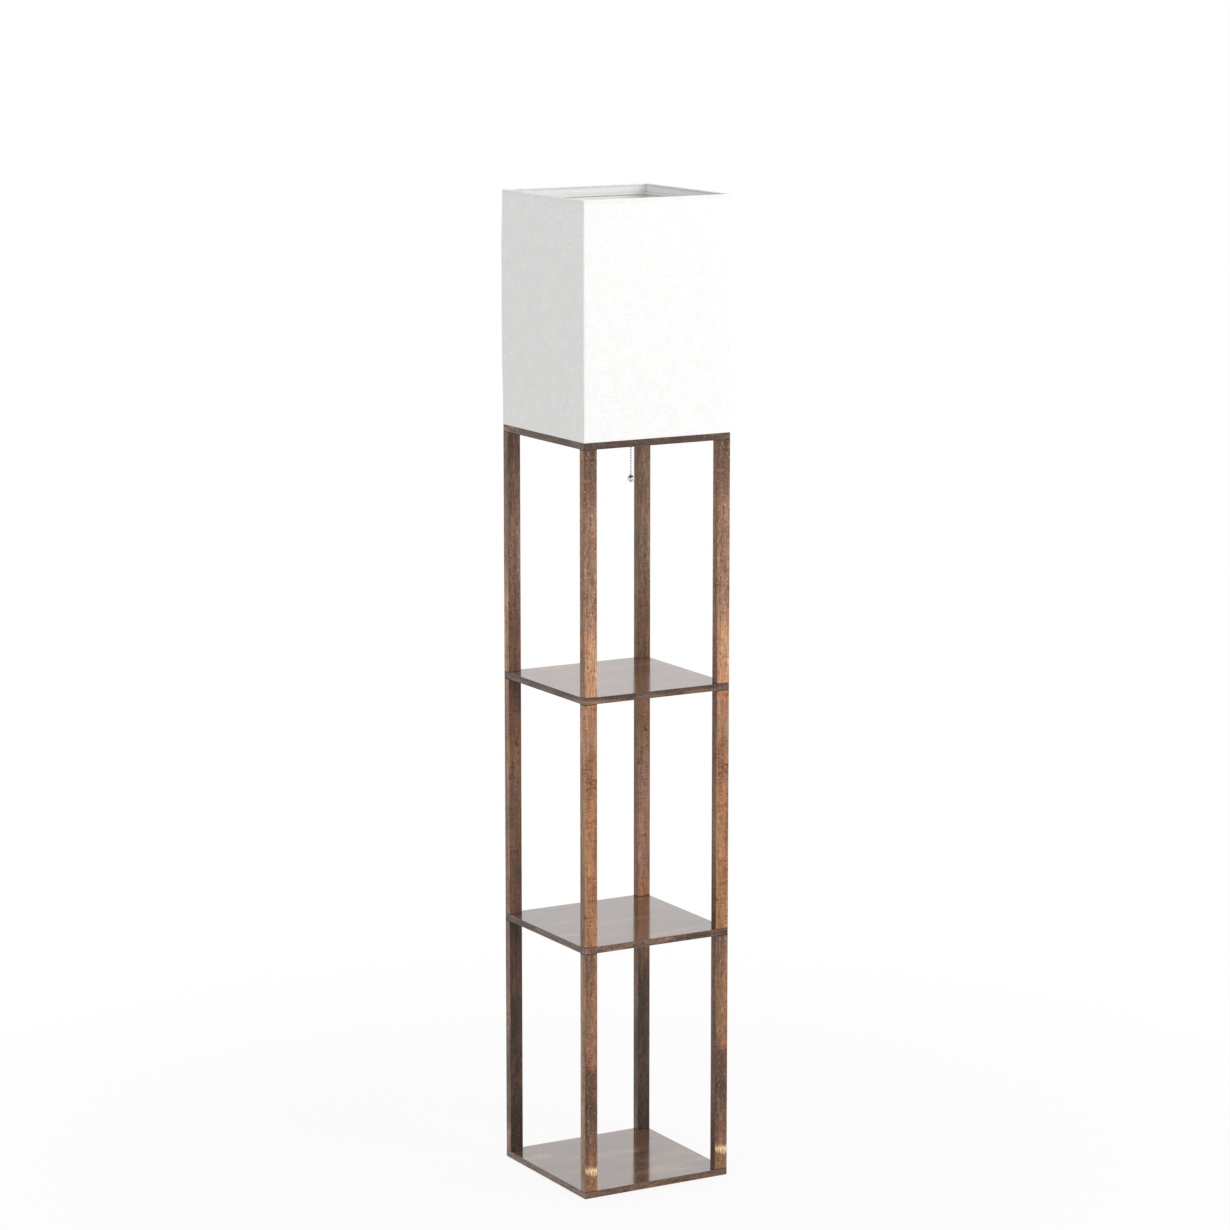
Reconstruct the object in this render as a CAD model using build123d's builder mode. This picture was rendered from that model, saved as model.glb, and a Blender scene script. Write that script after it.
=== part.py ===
from build123d import *
import math
import os

# Shelf floor lamp: three tiers of four posts between square boards, a square linen shade on the
# top board, and a pull-chain lampholder inside the shade. Millimetres, +Z up, origin on the floor
# under the middle of the base. The wide faces of the posts look along -Y.

# Boards and posts
board_side = 265.0
board_thickness = 11.0
post_length = 392.0
post_width = 23.0
post_depth = 14.5
edge_break = 0.5

# Floor pads
pad_diameter = 22.0
pad_thickness = 2.0
pad_inset = 34.0

# Fasteners between boards and posts
stud_diameter = 5.0
stud_reach = 13.0
screw_head_diameter = 10.0
countersink_angle = 90.0
screw_drive_size = 3.0
screw_drive_depth = 2.0
insert_diameter = 8.0
insert_length = 14.0
insert_well = 3.0
thread_gap = 0.05
insert_gap = 0.05
board_hole_gap = 0.25

# Shade
shade_overhang = 0.5
shade_height = 376.0
fabric_thickness = 0.6
liner_thickness = 0.8
hem_width = 15.0
shade_inner_corner = 1.0
frame_wire = 3.0
frame_bend = 5.0
frame_gap = 0.05
hub_rim = 2.0
hub_thickness = 2.0
hub_bite = 1.0

# Lampholder nipple, its nuts and washer
nipple_diameter = 10.0
nipple_bore = 7.5
nipple_gap = 0.2
nipple_spare = 1.0
nut_across_flats = 14.0
nut_height = 4.0
washer_diameter = 20.0
washer_thickness = 1.0

# Lampholder cap and shell
cap_height = 12.0
cap_wall = 1.5
cap_floor = 2.0
cord_hole_diameter = 6.5
cord_hole_lift = 0.25
shell_gap = 0.2
shell_wall = 1.3
shell_engagement = 8.0
shell_insulation_gap = 1.15
shell_lip = 0.5
rim_radius = 0.5
rim_share = 0.45  # most of the wall that each of its two fillets may take

# Switch block and its terminals
block_gap = 0.2
block_clearance = 1.0
block_roof = 3.7
outlet_flat_cut = 1.8
terminal_flat_cut = 3.3
terminal_diameter = 5.0
terminal_height = 2.0
terminal_slot = 0.8
terminal_slot_depth = 1.0
terminal_lift = 8.0

# Switch lever and its pin
lever_pivot = 6.0
lever_thickness = 1.5
lever_width = 4.0
lever_hub_diameter = 6.0
lever_tip = 2.5
lever_link_gap = 0.4
lever_side_gap = 0.6
lever_floor_gap = 1.6
pin_diameter = 2.5
pin_gap = 0.05
lever_running_gap = 0.05

# Chain outlet and return spring
outlet_wall = 1.2
outlet_lift = 0.5
outlet_head_room = 1.3
outlet_side_room = 0.8
outlet_end_room = 2.0
outlet_gap = 0.2
mouth_gap = 0.4
mouth_length = 4.0
mouth_neck = 2.0
mouth_flare = 1.2
spring_wire = 0.4
spring_turns = 4
spring_chain_gap = 0.5
spring_end_gap = 0.3

# Pull chain, its ball and its eyelet
chain_offset = 27.5
chain_pull = 8.0
bead_diameter = 3.2
bead_pitch = 4.4
link_diameter = 1.0
lever_bead_gap = 0.3
lever_bead_room = 4.4
swivel_gap = 0.3
upper_bead_count = 9
swivel_link_count = 2
end_bead_count = 10
ball_diameter = 11.5
collar_top_diameter = 2.4
collar_diameter = 4.6
collar_height = 3.0
collar_link = 0.4
eyelet_bore = 5.5
eyelet_wall = 1.0
eyelet_flange = 2.0
eyelet_lip = 1.0
eyelet_gap = 0.1

# Cord gland at the back of the top board
gland_bore = 7.0
gland_wall = 2.5
gland_flange = 2.5
gland_lip = 1.5
gland_inset = 27.5
gland_gap = 0.1

# Screw contact and bulb
thread_pitch = 3.63
thread_turns = 5
thread_major = 13.1
thread_minor = 12.1
thread_clearance = 0.35
screw_shell_wall = 0.4
contact_disc_diameter = 10.0
contact_top_diameter = 5.0
contact_height = 4.0
contact_sheet = 0.5
contact_ring_gap = 0.8
bulb_tip_diameter = 9.0
bulb_tip_height = 1.2
insulator_height = 4.0
cap_skin = 0.4
cap_collar = 2.4
housing_shoulder = 1.4
housing_wall = 1.5
bulb_diameter = 60.0
bulb_height = 110.0
dome_skirt = 13.0
dome_wall = 1.2
light_board_thickness = 1.6
light_board_gap = 0.3

os.makedirs("parts", exist_ok=True)

# Levels and places of the boards and posts, from the floor up
tier_names = ("lower", "middle", "upper")
board_names = ("base_board", "lower_shelf", "middle_shelf", "top_board")
tier_pitch = post_length + board_thickness
board_bottoms = [pad_thickness + step * tier_pitch for step in range(len(board_names))]
top_board_bottom = board_bottoms[-1]
board_top = top_board_bottom + board_thickness
half_board = board_side / 2
post_x = half_board - post_width / 2
post_y = half_board - post_depth / 2
gland_y = half_board - gland_inset
post_spots = {
    "front_left": (-post_x, -post_y),
    "front_right": (post_x, -post_y),
    "back_left": (-post_x, post_y),
    "back_right": (post_x, post_y),
}
corner_points = list(post_spots.values())
board_hole_radius = stud_diameter / 2 + board_hole_gap
head_slope = math.tan(math.radians(countersink_angle / 2))
head_depth = (screw_head_diameter - stud_diameter) / 2 / head_slope

# The shade, from its cloth inwards
shade_top = board_top + shade_height
shade_half = half_board + shade_overhang
liner_outer = shade_half - fabric_thickness
liner_inner = liner_outer - liner_thickness
hem_inner = liner_inner - fabric_thickness
top_ring_half = liner_inner - frame_gap - frame_wire / 2
bottom_ring_half = hem_inner - frame_gap - frame_wire / 2

# The lampholder, from the screw shell outwards and from its hub up
thread_mean = (thread_major + thread_minor) / 2
shell_inner = thread_major + thread_clearance + screw_shell_wall + shell_insulation_gap
shell_radius = shell_inner + shell_wall
cap_radius = shell_radius + shell_gap + cap_wall
hub_radius = cap_radius + hub_rim
block_radius = shell_inner - block_gap
outlet_flat = block_radius - outlet_flat_cut
terminal_flat = block_radius - terminal_flat_cut
cap_bottom = board_top + hub_thickness
cap_inside = cap_bottom + cap_floor
cap_top = cap_bottom + cap_height
cord_hole_level = cap_inside + cord_hole_diameter / 2 + cord_hole_lift
shell_bottom = cap_top - shell_engagement
lower_nut_bottom = top_board_bottom - washer_thickness - nut_height
nipple_bottom = lower_nut_bottom - nipple_spare
nipple_top = cap_inside + nut_height + nipple_spare
block_bottom = nipple_top + block_clearance

# The lever turns as far as one full pull of the chain needs, and the outlet leaves room for that
lever_reach = chain_offset - lever_pivot
lever_turn = chain_pull / lever_reach
lever_fall = (lever_reach + lever_tip) * math.sin(lever_turn) + lever_thickness / 2
outlet_bottom = cap_top + outlet_lift
room_bottom = outlet_bottom + outlet_wall
lever_level = room_bottom + lever_floor_gap + lever_fall
first_bead = lever_level + lever_thickness / 2 + lever_bead_gap + bead_diameter / 2
room_top = first_bead + bead_diameter / 2 + outlet_head_room
outlet_top = room_top + outlet_wall
block_top = room_top + block_roof
spring_radius = bead_diameter / 2 + spring_chain_gap + spring_wire / 2
room_half_width = spring_radius + spring_wire / 2 + outlet_side_room
outlet_half_width = room_half_width + outlet_wall
room_end = chain_offset + lever_tip + outlet_end_room

# The bulb, from its tip up
bulb_tip = block_top + contact_height
thread_bottom = bulb_tip + insulator_height
thread_top = thread_bottom + thread_pitch * thread_turns
shell_top = thread_top + shell_lip
collar_level = thread_top + cap_collar
dome_radius = bulb_diameter / 2
dome_centre = bulb_tip + bulb_height - dome_radius
housing_top = dome_centre - dome_skirt
housing_radius = math.sqrt(dome_radius**2 - dome_skirt**2)

# The chain, from the lever down
second_bead = lever_level - lever_thickness / 2 - lever_bead_room - bead_diameter / 2
swivel_level = second_bead - upper_bead_count * bead_pitch
end_level = swivel_level - swivel_link_count * bead_pitch
link_stop = bead_diameter / 2 + swivel_gap
collar_top = end_level - end_bead_count * bead_pitch - bead_diameter / 2 - collar_link
ball_flat = math.sqrt((ball_diameter / 2) ** 2 - (collar_diameter / 2) ** 2)
ball_level = collar_top - collar_height - ball_flat
chain_axis = Axis((chain_offset, 0, 0), (0, 0, 1))


def save(builder, label):
    """Names a finished piece and writes it to its own file."""
    builder.part.label = label
    export_step(builder.part, f"parts/{label}.step")


# Boards


def plain_holes():
    """Clearance holes for the studs at the four posts."""
    with Locations(*corner_points):
        Hole(board_hole_radius)


def countersunk_holes():
    """Countersunk holes for the screws at the four posts."""
    with Locations(*corner_points):
        CounterSinkHole(board_hole_radius, screw_head_diameter / 2, counter_sink_angle=countersink_angle)


def top_board_holes():
    """Screw holes, and the ways through for the lampholder, the chain and the cord."""
    countersunk_holes()
    Hole(nipple_diameter / 2 + nipple_gap)
    with Locations((chain_offset, 0)):
        Hole(eyelet_bore / 2 + eyelet_wall + eyelet_gap)
    with Locations((0, gland_y)):
        Hole(gland_bore / 2 + gland_wall + gland_gap)


def board(label, bottom, drilled_face, drill):
    """One square board with its edges broken, drilled from the face that its screws enter."""
    with BuildPart() as panel:
        with BuildSketch(Plane.XY.offset(bottom)):
            Rectangle(board_side, board_side)
        extrude(amount=board_thickness)
        chamfer(panel.edges(), edge_break)
        with Locations(drilled_face):
            drill()
    save(panel, label)


shelf_faces = [Plane.XY.offset(bottom + board_thickness) for bottom in board_bottoms]
base_underside = Plane.XY.offset(board_bottoms[0]).rotated((180, 0, 0))
board(board_names[0], board_bottoms[0], base_underside, countersunk_holes)
board(board_names[1], board_bottoms[1], shelf_faces[1], plain_holes)
board(board_names[2], board_bottoms[2], shelf_faces[2], plain_holes)
board(board_names[3], board_bottoms[3], shelf_faces[3], top_board_holes)


# Posts, and the threaded inserts in their ends


def post(label, x, y, bottom):
    """One post, with a well in each end for a threaded insert."""
    with BuildPart() as stick:
        with BuildSketch(Plane.XY.offset(bottom)):
            with Locations((x, y)):
                Rectangle(post_width, post_depth)
        extrude(amount=post_length)
        chamfer(stick.edges().filter_by(Axis.Z), edge_break)
        for end, inwards in ((bottom, 1), (bottom + post_length, -1)):
            with BuildSketch(Plane.XY.offset(end)):
                with Locations((x, y)):
                    Circle(insert_diameter / 2 + insert_gap)
            extrude(amount=inwards * (insert_length + insert_well), mode=Mode.SUBTRACT)
    save(stick, label)


def post_inserts(label, bottom):
    """The eight threaded inserts of one tier of posts."""
    with BuildPart() as sleeves:
        for start in (bottom, bottom + post_length - insert_length):
            with BuildSketch(Plane.XY.offset(start)):
                with Locations(*corner_points):
                    Circle(insert_diameter / 2)
                    Circle(stud_diameter / 2 + thread_gap, mode=Mode.SUBTRACT)
            extrude(amount=insert_length)
    save(sleeves, label)


for tier_name, board_bottom in zip(tier_names, board_bottoms):
    tier_bottom = board_bottom + board_thickness
    for spot, (x, y) in post_spots.items():
        post(f"{tier_name}_post_{spot}", x, y, tier_bottom)
    post_inserts(f"{tier_name}_post_inserts", tier_bottom)


# Floor pads, studs and screws


def studs(label, bottom):
    """Four double-ended studs that run through a shelf into the posts above and below it."""
    with BuildPart() as rods:
        with BuildSketch(Plane.XY.offset(bottom - stud_reach)):
            with Locations(*corner_points):
                Circle(stud_diameter / 2)
        extrude(amount=board_thickness + 2 * stud_reach)
    save(rods, label)


def screws(label, head_face, into):
    """Four countersunk screws. head_face is the level of their heads; into is 1 for up, -1 for down."""
    tip = head_face + into * (board_thickness + stud_reach)
    with BuildPart() as group:
        for x, y in corner_points:
            with BuildSketch(Plane.XZ.offset(-y)):
                with BuildLine():
                    Polyline(
                        (x, head_face),
                        (x + screw_head_diameter / 2, head_face),
                        (x + stud_diameter / 2, head_face + into * head_depth),
                        (x + stud_diameter / 2, tip),
                        (x, tip),
                        close=True,
                    )
                make_face()
            revolve(axis=Axis((x, y, 0), (0, 0, 1)))
        with BuildSketch(Plane.XY.offset(head_face)):
            with Locations(*corner_points):
                RegularPolygon(screw_drive_size / 2, 6, major_radius=False)
        extrude(amount=into * screw_drive_depth, mode=Mode.SUBTRACT)
    save(group, label)


with BuildPart() as floor_pads:
    with BuildSketch():
        with GridLocations(board_side - 2 * pad_inset, board_side - 2 * pad_inset, 2, 2):
            Circle(pad_diameter / 2)
    extrude(amount=pad_thickness)
save(floor_pads, "floor_pads")

screws("base_screws", board_bottoms[0], 1)
studs("lower_studs", board_bottoms[1])
studs("middle_studs", board_bottoms[2])
screws("top_screws", board_top, -1)


# Shade


def shade_square(half, mode=Mode.ADD):
    """A square centred on the lamp's axis, with rounded corners parallel to the shade's own."""
    RectangleRounded(2 * half, 2 * half, shade_inner_corner + half - hem_inner, mode=mode)


with BuildPart() as shade_fabric:
    # the cloth goes over both rims and down inside for the width of the hem
    with BuildSketch(Plane.XY.offset(board_top)):
        shade_square(shade_half)
        shade_square(hem_inner, Mode.SUBTRACT)
    extrude(amount=shade_height)
    with BuildSketch(Plane.XY.offset(board_top + fabric_thickness)):
        shade_square(liner_outer)
        shade_square(liner_inner, Mode.SUBTRACT)
    extrude(amount=shade_height - 2 * fabric_thickness, mode=Mode.SUBTRACT)
    with BuildSketch(Plane.XY.offset(board_top + hem_width)):
        shade_square(liner_inner)
    extrude(amount=shade_height - 2 * hem_width, mode=Mode.SUBTRACT)
save(shade_fabric, "shade_fabric")

with BuildPart() as shade_liner:
    with BuildSketch(Plane.XY.offset(board_top + fabric_thickness)):
        shade_square(liner_outer)
        shade_square(liner_inner, Mode.SUBTRACT)
    extrude(amount=shade_height - 2 * fabric_thickness)
save(shade_liner, "shade_liner")


def wire_ring(label, level, half):
    """A square ring of round wire with bent corners. half is half the width of its centre line."""
    with BuildPart() as ring:
        with BuildSketch(Plane.XY.offset(level), mode=Mode.PRIVATE) as outline:
            RectangleRounded(2 * half, 2 * half, frame_bend)
        path = outline.sketch.face().outer_wire()
        with BuildSketch(Plane(origin=path @ 0, z_dir=path % 0)):
            Circle(frame_wire / 2)
        sweep(path=path)
    save(ring, label)


wire_ring("shade_top_ring", shade_top - hem_width - frame_wire / 2, top_ring_half)
wire_ring("shade_bottom_ring", board_top + frame_wire / 2, bottom_ring_half)

with BuildPart() as shade_spider:
    with BuildSketch(Plane.XY.offset(board_top)):
        Circle(hub_radius)
        Circle(nipple_diameter / 2 + nipple_gap, mode=Mode.SUBTRACT)
    extrude(amount=hub_thickness)
    # the arms run from the hub to the middle of the bottom ring's bent corners
    arm_start = hub_radius - hub_bite
    arm_end = (bottom_ring_half - frame_bend) * math.sqrt(2) + frame_bend
    for across, along in ((1, 1), (-1, 1), (-1, -1), (1, -1)):
        outwards = Vector(across, along, 0).normalized()
        start = outwards * arm_start + Vector(0, 0, board_top + frame_wire / 2)
        with BuildSketch(Plane(origin=start, z_dir=outwards)):
            Circle(frame_wire / 2)
        extrude(amount=arm_end - arm_start)
save(shade_spider, "shade_spider")


# Lampholder fixing


with BuildPart() as lampholder_nipple:
    with BuildSketch(Plane.XY.offset(nipple_bottom)):
        Circle(nipple_diameter / 2)
        Circle(nipple_bore / 2, mode=Mode.SUBTRACT)
    extrude(amount=nipple_top - nipple_bottom)
save(lampholder_nipple, "lampholder_nipple")

with BuildPart() as nipple_nuts:
    # one under the top board and one inside the lampholder's cap
    for nut_bottom in (lower_nut_bottom, cap_inside):
        with BuildSketch(Plane.XY.offset(nut_bottom)):
            RegularPolygon(nut_across_flats / 2, 6, major_radius=False)
            Circle(nipple_diameter / 2 + thread_gap, mode=Mode.SUBTRACT)
        extrude(amount=nut_height)
save(nipple_nuts, "nipple_nuts")

with BuildPart() as nipple_washer:
    with BuildSketch(Plane.XY.offset(top_board_bottom - washer_thickness)):
        Circle(washer_diameter / 2)
        Circle(nipple_diameter / 2 + nipple_gap, mode=Mode.SUBTRACT)
    extrude(amount=washer_thickness)
save(nipple_washer, "nipple_washer")

# Lampholder body

with BuildPart() as holder_cap:
    with BuildSketch(Plane.XY.offset(cap_bottom)):
        Circle(cap_radius)
    extrude(amount=cap_height)
    fillet(holder_cap.faces().sort_by(Axis.Z)[0].edges(), cap_wall)
    with BuildSketch(Plane.XY.offset(cap_inside)):
        Circle(cap_radius - cap_wall)
    extrude(amount=cap_height - cap_floor, mode=Mode.SUBTRACT)
    with BuildSketch(Plane.XY.offset(cap_bottom)):
        Circle(nipple_diameter / 2 + nipple_gap)
    extrude(amount=cap_floor, mode=Mode.SUBTRACT)
    # the cord's way in, towards the back
    with BuildSketch(Plane.XZ):
        with Locations((0, cord_hole_level)):
            Circle(cord_hole_diameter / 2)
    extrude(amount=-cap_radius, mode=Mode.SUBTRACT)
save(holder_cap, "lampholder_cap")

with BuildPart() as holder_shell:
    with BuildSketch(Plane.XY.offset(shell_bottom)):
        Circle(shell_radius)
        Circle(shell_inner, mode=Mode.SUBTRACT)
    extrude(amount=shell_top - shell_bottom)
    rim_edges = holder_shell.edges().filter_by(GeomType.CIRCLE).group_by(Axis.Z)[-1]
    fillet(rim_edges, min(rim_radius, rim_share * shell_wall))
    # window for the chain outlet
    window_width = 2 * (outlet_half_width + outlet_gap)
    window_height = outlet_top - outlet_bottom + 2 * outlet_gap
    with BuildSketch(Plane.YZ):
        with Locations((0, outlet_bottom - outlet_gap)):
            Rectangle(window_width, window_height, align=(Align.CENTER, Align.MIN))
    extrude(amount=shell_radius, mode=Mode.SUBTRACT)
    # the cord's way in, in line with the cap's
    with BuildSketch(Plane.XZ):
        with Locations((0, cord_hole_level)):
            Circle(cord_hole_diameter / 2)
    extrude(amount=-shell_radius, mode=Mode.SUBTRACT)
save(holder_shell, "lampholder_shell")

with BuildPart() as switch_block:
    with BuildSketch(Plane.XY.offset(block_bottom)):
        Circle(block_radius)
        # flats for the outlet and for the two terminals
        with Locations((-block_radius, 0)):
            Rectangle(
                block_radius + outlet_flat,
                2 * terminal_flat,
                align=(Align.MIN, Align.CENTER),
                mode=Mode.INTERSECT,
            )
    extrude(amount=block_top - block_bottom)
    # slot that the lever swings in, level with the outlet's room
    slot_half_width = lever_width / 2 + lever_side_gap
    with BuildSketch(Plane.XZ.offset(-slot_half_width)):
        with Locations((lever_pivot - lever_hub_diameter / 2 - lever_side_gap, room_bottom)):
            Rectangle(2 * block_radius, room_top - room_bottom, align=(Align.MIN, Align.MIN))
    extrude(amount=2 * slot_half_width, mode=Mode.SUBTRACT)
    with BuildSketch(Plane.XZ):
        with Locations((lever_pivot, lever_level)):
            Circle(pin_diameter / 2 + pin_gap)
    extrude(amount=block_radius, both=True, mode=Mode.SUBTRACT)
save(switch_block, "switch_block")

with BuildPart() as terminal_screws:
    for outwards in (1, -1):
        with BuildSketch(Plane.XZ.offset(outwards * terminal_flat)):
            with Locations((0, block_bottom + terminal_lift)):
                Circle(terminal_diameter / 2)
        extrude(amount=outwards * terminal_height)
        with BuildSketch(Plane.XZ.offset(outwards * (terminal_flat + terminal_height))):
            with Locations((0, block_bottom + terminal_lift)):
                Rectangle(terminal_diameter, terminal_slot)
        extrude(amount=-outwards * terminal_slot_depth, mode=Mode.SUBTRACT)
save(terminal_screws, "terminal_screws")

# Pull switch

with BuildPart() as lever_pin:
    with BuildSketch(Plane.XZ.offset(-terminal_flat)):
        with Locations((lever_pivot, lever_level)):
            Circle(pin_diameter / 2)
    extrude(amount=2 * terminal_flat)
save(lever_pin, "lever_pin")

with BuildPart() as switch_lever:
    with BuildSketch(Plane.XZ.offset(-lever_width / 2)):
        with Locations((lever_pivot, lever_level)):
            Circle(lever_hub_diameter / 2)
            Rectangle(lever_reach + lever_tip, lever_thickness, align=(Align.MIN, Align.CENTER))
            Circle(pin_diameter / 2 + lever_running_gap, mode=Mode.SUBTRACT)
    extrude(amount=lever_width)
    # open slot in the tip, for the chain's first link
    with BuildSketch(Plane.XY.offset(lever_level)):
        with Locations((chain_offset, 0)):
            SlotCenterToCenter(2 * lever_tip, link_diameter + 2 * lever_link_gap)
    extrude(amount=lever_thickness, both=True, mode=Mode.SUBTRACT)
save(switch_lever, "switch_lever")

with BuildPart() as chain_outlet:
    outlet_size = (room_end + outlet_wall - outlet_flat, 2 * outlet_half_width)
    with BuildSketch(Plane.XY.offset(outlet_bottom)):
        with Locations((outlet_flat, 0)):
            Rectangle(*outlet_size, align=(Align.MIN, Align.CENTER))
    extrude(amount=outlet_top - outlet_bottom)
    fillet(chain_outlet.faces().sort_by(Axis.X)[-1].edges(), outlet_wall)
    # room for the lever's tip, open towards the block
    with BuildSketch(Plane.XY.offset(room_bottom)):
        with Locations((outlet_flat, 0)):
            Rectangle(room_end - outlet_flat, 2 * room_half_width, align=(Align.MIN, Align.CENTER))
    extrude(amount=room_top - room_bottom, mode=Mode.SUBTRACT)
    # bell mouth under the chain
    mouth_radius = bead_diameter / 2 + mouth_gap
    neck_bottom = outlet_bottom - mouth_neck
    mouth_bottom = outlet_bottom - mouth_length
    with BuildSketch(Plane.XZ):
        with BuildLine():
            Polyline(
                (chain_offset + mouth_radius, room_bottom),
                (chain_offset + mouth_radius, neck_bottom),
                (chain_offset + mouth_radius + mouth_flare, mouth_bottom),
                (chain_offset + mouth_radius + mouth_flare + outlet_wall, mouth_bottom),
                (chain_offset + mouth_radius + outlet_wall, neck_bottom),
                (chain_offset + mouth_radius + outlet_wall, room_bottom),
                close=True,
            )
        make_face()
    revolve(axis=chain_axis)
    with BuildSketch(Plane.XY.offset(room_bottom)):
        with Locations((chain_offset, 0)):
            Circle(mouth_radius)
    extrude(amount=neck_bottom - room_bottom, mode=Mode.SUBTRACT)
save(chain_outlet, "chain_outlet")

with BuildPart() as return_spring:
    # stands on the outlet's floor round the chain, under the lever's tip
    coil_bottom = room_bottom + spring_wire / 2
    coil_top = lever_level - lever_thickness / 2 - spring_end_gap - spring_wire / 2
    coil_height = coil_top - coil_bottom
    coil_pitch = coil_height / spring_turns
    with BuildLine():
        coil = Helix(coil_pitch, coil_height, spring_radius, center=(chain_offset, 0, coil_bottom))
    with BuildSketch(Plane(origin=coil @ 0, z_dir=coil % 0)):
        Circle(spring_wire / 2)
    sweep()
save(return_spring, "return_spring")

# Screw shell, centre contact and bulb


def thread_arcs(shift):
    """A rolled thread drawn as rounded rings: crest and root arcs in turn, shifted outwards by shift."""
    mean = thread_mean + shift
    swing = (thread_major - thread_minor) / 2
    half_pitch = thread_pitch / 2
    for step in range(2 * thread_turns):
        low = thread_bottom + step * half_pitch
        side = 1 if step % 2 == 0 else -1
        ThreePointArc((mean, low), (mean + side * swing, low + half_pitch / 2), (mean, low + half_pitch))


with BuildPart() as screw_shell:
    inner_radius = thread_mean + thread_clearance
    outer_radius = inner_radius + screw_shell_wall
    flange_radius = contact_disc_diameter / 2 + contact_ring_gap
    with BuildSketch(Plane.XZ):
        with BuildLine():
            Polyline(
                (inner_radius, thread_bottom),
                (inner_radius, block_top + screw_shell_wall),
                (flange_radius, block_top + screw_shell_wall),
                (flange_radius, block_top),
                (outer_radius, block_top),
                (outer_radius, thread_bottom),
            )
            thread_arcs(thread_clearance + screw_shell_wall)
            Line((outer_radius, thread_top), (inner_radius, thread_top))
            thread_arcs(thread_clearance)
        make_face()
    revolve(axis=Axis.Z)
save(screw_shell, "screw_shell")

with BuildPart() as centre_contact:
    # sprung tongue, pressed as a low hollow cone
    disc_radius = contact_disc_diameter / 2
    tongue_radius = contact_top_diameter / 2
    with BuildSketch(Plane.XZ):
        with BuildLine():
            Polyline(
                (0, bulb_tip),
                (tongue_radius, bulb_tip),
                (disc_radius, block_top + contact_sheet),
                (disc_radius, block_top),
                (disc_radius - contact_sheet, block_top),
                (tongue_radius - contact_sheet, bulb_tip - contact_sheet),
                (0, bulb_tip - contact_sheet),
                close=True,
            )
        make_face()
    revolve(axis=Axis.Z)
save(centre_contact, "centre_contact")

with BuildPart() as bulb_contact:
    with BuildSketch(Plane.XY.offset(bulb_tip)):
        Circle(bulb_tip_diameter / 2)
    extrude(amount=bulb_tip_height)
save(bulb_contact, "bulb_contact")

with BuildPart() as bulb_insulator:
    # closes the bottom of the screw cap, whose rim stands on it
    with BuildSketch(Plane.XZ):
        with BuildLine():
            Polyline(
                (0, bulb_tip + bulb_tip_height),
                (bulb_tip_diameter / 2, bulb_tip + bulb_tip_height),
                (thread_mean, thread_bottom),
                (0, thread_bottom),
                close=True,
            )
        make_face()
    revolve(axis=Axis.Z)
save(bulb_insulator, "bulb_insulator")

with BuildPart() as bulb_cap:
    with BuildSketch(Plane.XZ):
        with BuildLine():
            Line((thread_mean - cap_skin, thread_bottom), (thread_mean, thread_bottom))
            thread_arcs(0)
            Polyline(
                (thread_mean, thread_top),
                (thread_mean, collar_level),
                (thread_mean - cap_skin, collar_level),
                (thread_mean - cap_skin, thread_top),
            )
            thread_arcs(-cap_skin)
        make_face()
    revolve(axis=Axis.Z)
save(bulb_cap, "bulb_cap")

with BuildPart() as bulb_housing:
    # flared body that meets the dome along the dome's own tangent
    seat_outer = thread_mean + housing_shoulder
    seat_inner = thread_mean - cap_skin
    with BuildSketch(Plane.XZ):
        with BuildLine():
            Line((seat_inner, collar_level), (seat_outer, collar_level))
            Spline(
                (seat_outer, collar_level),
                (housing_radius, housing_top),
                tangents=[(0, 1), (dome_skirt, housing_radius)],
            )
            Line((housing_radius, housing_top), (housing_radius - housing_wall, housing_top))
            Spline(
                (housing_radius - housing_wall, housing_top),
                (seat_inner, collar_level),
                tangents=[(-dome_skirt, -housing_radius), (0, -1)],
            )
        make_face()
    revolve(axis=Axis.Z)
save(bulb_housing, "bulb_housing")

with BuildPart() as bulb_dome:
    with BuildSketch(Plane.XZ):
        with Locations((0, dome_centre)):
            Circle(dome_radius)
            Circle(dome_radius - dome_wall, mode=Mode.SUBTRACT)
        with Locations((0, housing_top)):
            Rectangle(dome_radius, bulb_height, align=(Align.MIN, Align.MIN), mode=Mode.INTERSECT)
    revolve(axis=Axis.Z)
save(bulb_dome, "bulb_dome")

with BuildPart() as bulb_light_board:
    # lies in the housing's mouth, which narrows downwards
    narrowing = light_board_thickness * dome_skirt / housing_radius
    with BuildSketch(Plane.XY.offset(housing_top - light_board_thickness)):
        Circle(housing_radius - housing_wall - narrowing - light_board_gap)
    extrude(amount=light_board_thickness)
save(bulb_light_board, "bulb_light_board")

# Pull chain


def chain_run(label, beads, link_top, link_bottom):
    """Beads at the given levels on one straight link that runs from link_top to link_bottom."""
    with BuildPart() as run:
        with BuildSketch(Plane.XY.offset(link_bottom)):
            with Locations((chain_offset, 0)):
                Circle(link_diameter / 2)
        extrude(amount=link_top - link_bottom)
        with Locations(*[(chain_offset, 0, level) for level in beads]):
            Sphere(bead_diameter / 2)
    save(run, label)


upper_beads = [first_bead] + [second_bead - step * bead_pitch for step in range(upper_bead_count)]
swivel_beads = [swivel_level - step * bead_pitch for step in range(swivel_link_count + 1)]
end_beads = [end_level - step * bead_pitch for step in range(1, end_bead_count + 1)]
chain_run("pull_chain_upper", upper_beads, first_bead, swivel_level + link_stop)
chain_run("pull_chain_swivel", swivel_beads, swivel_level, end_level)
chain_run("pull_chain_end", end_beads, end_level - link_stop, collar_top)

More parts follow.
